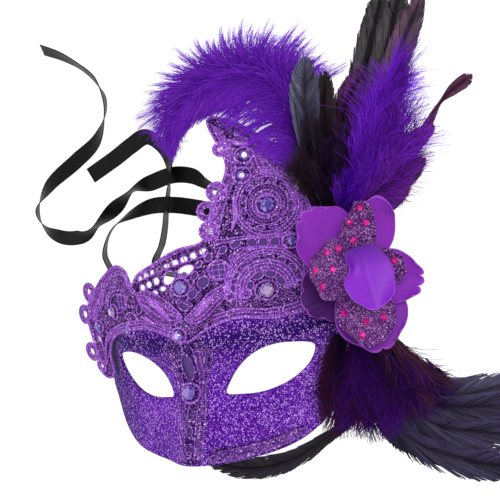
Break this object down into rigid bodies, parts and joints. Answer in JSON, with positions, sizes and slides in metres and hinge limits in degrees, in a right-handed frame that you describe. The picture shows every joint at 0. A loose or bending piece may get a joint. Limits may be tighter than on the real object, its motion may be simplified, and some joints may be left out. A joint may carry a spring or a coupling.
{
  "type": "masquerade mask",
  "caption": "Half face mask with a swan crest, lace over its brow, cut stones, a cloth flower and feathers at one temple, and satin ties.",
  "frame": {"origin": "on the table, under the middle of the mask with its feathers and without its ribbons", "axes": "+X across the face to the viewer's right, +Y up the face to the crest, +Z off the table through the nose"},
  "size_m": [0.3054, 0.2826, 0.0675],
  "materials": {
    "glitter_shell": "moulded plastic under violet glitter",
    "guipure_lace": "stiff guipure lace of shiny purple thread",
    "petal_cloth": "plain purple petal cloth",
    "glitter_cloth": "purple cloth with fine glitter and pink stones",
    "lip_satin": "smooth bright violet cloth",
    "dark_feather": "glossy blue-black and maroon cock feather",
    "violet_feather": "dyed violet feather",
    "down": "dark maroon and violet fluff",
    "crystal": "faceted acrylic stone, pale violet",
    "black_satin": "black satin ribbon"
  },
  "bodies": {
    "root": {"mask_base": "glitter_shell", "brow_lace": "guipure_lace", "nose_lace": "guipure_lace", "cheek_edging": "guipure_lace", "flower_stem": "petal_cloth", "petal_left_lower": "petal_cloth", "petal_left_upper": "petal_cloth", "petal_bottom": "petal_cloth", "petal_right": "petal_cloth", "petal_right_upper": "petal_cloth", "glitter_petal_top": "glitter_cloth", "glitter_petal_bottom": "glitter_cloth", "glitter_petal_right": "glitter_cloth", "glitter_petal_left": "glitter_cloth", "flower_lip": "lip_satin", "coque_fan": "dark_feather", "coque_tail": "dark_feather", "sickle_feather": "dark_feather", "purple_hackle": "violet_feather", "ostrich_plume": "violet_feather", "tail_down": "down", "crest_stone_top": "crystal", "crest_stone_upper": "crystal", "crest_stone_rosette": "crystal", "crest_stone_edge": "crystal", "crest_stone_side": "crystal", "brow_stone_right": "crystal", "net_stone": "crystal", "brow_stone_middle": "crystal", "bridge_stone": "crystal", "temple_stone": "crystal", "temple_stone_lower": "crystal", "temple_stone_outer": "crystal", "ribbon_left": "black_satin", "ribbon_right": "black_satin"}
  },
  "joints": []
}
